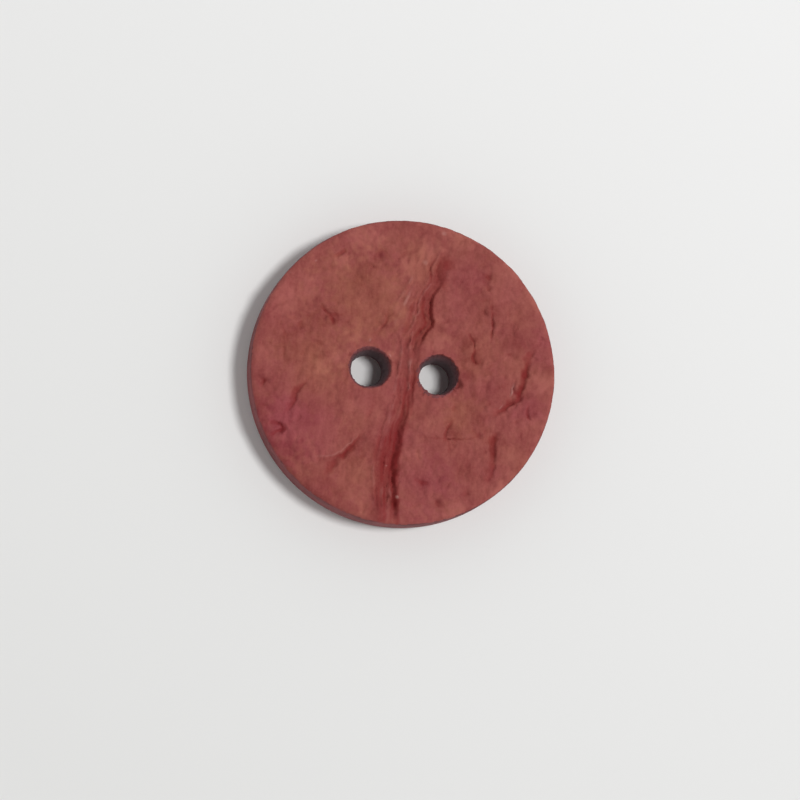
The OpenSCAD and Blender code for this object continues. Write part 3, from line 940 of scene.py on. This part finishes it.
# Painted highlights: thin glints on raised edges that face the lamp.
PAINTED_GLINTS = [
    (0.1, 0.1, [(73.6, 3, 0), (73, -1, 0.35), (72.2, -4.5, 0.6), (71, -8, 0)]),
    (0.08, 0.08, [(67, -13, 0), (66, -15, 0.4), (65, -17, 0)]),
    (0.08, 0.08, [(x, y, LIP_HIGHLIGHT * share) for x, y, share in PLATE_LIP]),
]
# The pale colour along the fibres is partly paler fibre and partly painted highlight.
broken_fibre = patchy(combed(*FIBRE_BREAKS, 7), middle=0.4, reach=2, least=0, most=1.6)
pale = np.max([spots_weight(PALE), ridges * broken_fibre * FIBRE_PALE_AND_HIGHLIGHT, lines_weight(PAINTED_GLINTS)], axis=0)
attribute(button, "pale", pale * on_face)
print("specks", len(PALE), "glints", len(PAINTED_GLINTS))

# %% [markdown]
# ### Finish of the skin
# The skin is matte. Its colour is built up in the order in which the dye took: a mix of pinkish and
# brownish, then lighter and darker patches, partly painted shade, with mottling from a millimetre down to
# fine specks, then short strokes along the vein, then deep red, partly painted shade, and pale shell,
# partly painted highlight, where the attributes say so. Noise in object coordinates does the mottling, so
# it needs no unwrapped picture. A bump adds the finest grain, which the net can't hold.

# %% Finish of the skin
PINKISH = (0.278, 0.055, 0.0635)
BROWNISH = (0.293, 0.085, 0.0585)
# Dark and light ends of the tone; the dark end also carries painted shade.
SHADE = (0.75, 0.61, 0.64)
SHINE = (1.23, 1.43, 1.38)
# Deep red of the crevices: partly dye, partly painted shade.
DEEP_RED = (0.21, 0.0135, 0.0145)
DEEP_RED_MOST = 0.85
# Pale shell for the specks, also used as painted highlight on fibres and raised edges.
PALE_SHELL_AND_HIGHLIGHT = (0.52, 0.27, 0.24)
SKIN_ROUGH, SKIN_SHINE = 0.8, 0.12
PATCH_SIZE, PATCH_DETAIL, PATCH_REACH = 2.2, 4, 0.18
PATCH_RANGE = (0.3, 0.7)
MOTTLE_RANGE = (0.25, 0.75)
# Each mottle: size of a lump in mm, detail, reach.
MOTTLES = [(1.6, 3, 0.22), (0.5, 5, 0.17), (0.14, 3, 0.13)]
STROKE_SIZE, STROKE_DETAIL, STROKE_REACH = 0.3, 3, 0.16
STROKE_DRAWN = (1, 0.3, 1)
STROKE_BENT = 1.0
SKIN_GRAIN, SKIN_BUMP = 0.12, 0.5
BUMP_HEIGHT = 0.02 * MM
BUMP_DETAIL = 3


def noise_node(tree, place, size_mm, detail, bent=0.0):
    """Noise with lumps of that size."""
    feeds = {"Vector": place, "Scale": 1 / (size_mm * MM), "Detail": detail, "Distortion": bent}
    return add_node(tree, "ShaderNodeTexNoise", feeds).outputs["Fac"]


def carried(tree, name):
    """Reads an attribute of the mesh."""
    return add_node(tree, "ShaderNodeAttribute", {}, attribute_name=name).outputs["Fac"]


def add_grain(tree, shader, place, size_mm, strength):
    """Tilts the shading by a fine noise."""
    grain = noise_node(tree, place, size_mm, BUMP_DETAIL)
    feeds = {"Strength": strength, "Distance": BUMP_HEIGHT, "Height": grain}
    feed(tree, shader.inputs["Normal"], add_node(tree, "ShaderNodeBump", feeds).outputs["Normal"])


def skin_finish():
    """Matte red-brown dye on the natural skin of the face, with painted shade and painted highlights."""
    finish, tree, shader, place = matte_finish("dyed_skin", SKIN_ROUGH, SKIN_SHINE)
    patch = noise_node(tree, place, PATCH_SIZE, PATCH_DETAIL)
    patch = spread_node(tree, patch, *PATCH_RANGE, -PATCH_REACH, PATCH_REACH)
    color = mix_node(tree, math_node(tree, "ADD", carried(tree, "brown"), patch), PINKISH, BROWNISH)
    drawn = add_node(tree, "ShaderNodeMapping", {"Vector": place, "Scale": STROKE_DRAWN}).outputs["Vector"]
    layers = [(noise_node(tree, place, size_mm, detail), reach) for size_mm, detail, reach in MOTTLES]
    layers += [(noise_node(tree, drawn, STROKE_SIZE, STROKE_DETAIL, STROKE_BENT), STROKE_REACH)]
    # Tone of the dye with painted shade, plus mottling.
    tone_and_shade = carried(tree, "tone_and_shade")
    for layer, reach in layers:
        tone_and_shade = math_node(tree, "ADD", tone_and_shade, spread_node(tree, layer, *MOTTLE_RANGE, -reach, reach))
    color = mix_node(tree, 1.0, color, mix_node(tree, tone_and_shade, SHADE, SHINE), "MULTIPLY")
    # Deep red in the crevices: partly dye, partly painted shade.
    red = math_node(tree, "MULTIPLY", carried(tree, "crevice_red_and_shade"), DEEP_RED_MOST)
    color = mix_node(tree, red, color, DEEP_RED)
    # Pale shell, and painted highlights on fibres and raised edges.
    color = mix_node(tree, carried(tree, "pale"), color, PALE_SHELL_AND_HIGHLIGHT)
    feed(tree, shader.inputs["Base Color"], color)
    add_grain(tree, shader, place, SKIN_GRAIN, SKIN_BUMP)
    return finish


button.data.materials.append(skin_finish())
print("skin finish", len(button.data.materials[0].node_tree.nodes), "nodes")

# %% [markdown]
# ### Finish of the cut sides
# Wall, holes and back were sawn, drilled and sanded, so they show the inside of the shell: darker than
# the skin, cloudy, with short dark flecks. Inside the holes the colour turns greyer with depth. A second
# material takes care of that, and a last attribute says how far inside a hole a point lies.

# %% Finish of the cut sides
CUT_LIGHT = (0.22, 0.06, 0.063)
CUT_DARK = (0.15, 0.043, 0.045)
CUT_FLECK = (0.085, 0.022, 0.022)
DRILLED = (0.155, 0.105, 0.115)
CUT_ROUGH, CUT_SHINE = 0.7, 0.15
CLOUD_SIZE, CLOUD_DETAIL = 1.5, 4
CLOUD_RANGE = (0.35, 0.65)
FLECK_SIZE, FLECK_DETAIL, FLECK_MOST = 0.25, 3, 0.6
FLECK_RANGE = (0.58, 0.68)
CUT_GRAIN, CUT_BUMP = 0.18, 0.4
HOLE_MARGIN = 0.15 * MM
DRILLED_DEEP = 1.3 * MM
in_hole = np.min([away_from(co, x) for x in hole_xs], axis=0) < mouth_r + HOLE_MARGIN
on_back = co[:, 2] < BACK_LIP
attribute(button, "drilled", in_hole * ~on_back * ease((top_z - co[:, 2]) / DRILLED_DEEP))


def cut_finish():
    """Sawn, drilled and sanded shell: darker than the skin, with short flecks."""
    finish, tree, shader, place = matte_finish("dyed_cut", CUT_ROUGH, CUT_SHINE)
    cloud = spread_node(tree, noise_node(tree, place, CLOUD_SIZE, CLOUD_DETAIL), *CLOUD_RANGE, 0, 1)
    fleck = noise_node(tree, place, FLECK_SIZE, FLECK_DETAIL)
    fleck = spread_node(tree, fleck, *FLECK_RANGE, 0, FLECK_MOST)
    color = mix_node(tree, cloud, CUT_DARK, CUT_LIGHT)
    color = mix_node(tree, carried(tree, "drilled"), color, DRILLED)
    color = mix_node(tree, fleck, color, CUT_FLECK)
    feed(tree, shader.inputs["Base Color"], color)
    add_grain(tree, shader, place, CUT_GRAIN, CUT_BUMP)
    return finish


button.data.materials.append(cut_finish())
print("cut finish", len(button.data.materials[1].node_tree.nodes), "nodes")

# %% [markdown]
# ### Skin or cut
# Each face of the mesh gets one of the two finishes by its place: the wall, the holes and the back are
# cut, and the rest is skin. Smooth shading up to a wide angle keeps the grain soft and the edges of
# cracks clear.

# %% Skin or cut
WALL_STRIP = 0.05 * MM
CUT_BELOW = 1.0 * MM
MOUTH_STRIP = 0.01 * MM
SMOOTH_UP_TO = math.radians(70)
middles = np.empty(len(button.data.polygons) * 3)
button.data.polygons.foreach_get("center", middles)
middles = middles.reshape(-1, 3)
is_cut = (away_from(middles, 0) > face_r - WALL_STRIP) | (middles[:, 2] < top_z - CUT_BELOW)
for x in hole_xs:
    is_cut |= away_from(middles, x) < mouth_r - MOUTH_STRIP
button.data.polygons.foreach_set("material_index", is_cut.astype(np.int32))
bpy.ops.object.shade_smooth_by_angle(angle=SMOOTH_UP_TO)
print("skin faces", int((~is_cut).sum()), "cut faces", int(is_cut.sum()))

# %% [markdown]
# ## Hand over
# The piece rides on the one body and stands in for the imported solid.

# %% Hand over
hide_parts("button")
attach(button, "root")
print("triangles", sum(len(p.vertices) - 2 for p in button.data.polygons))
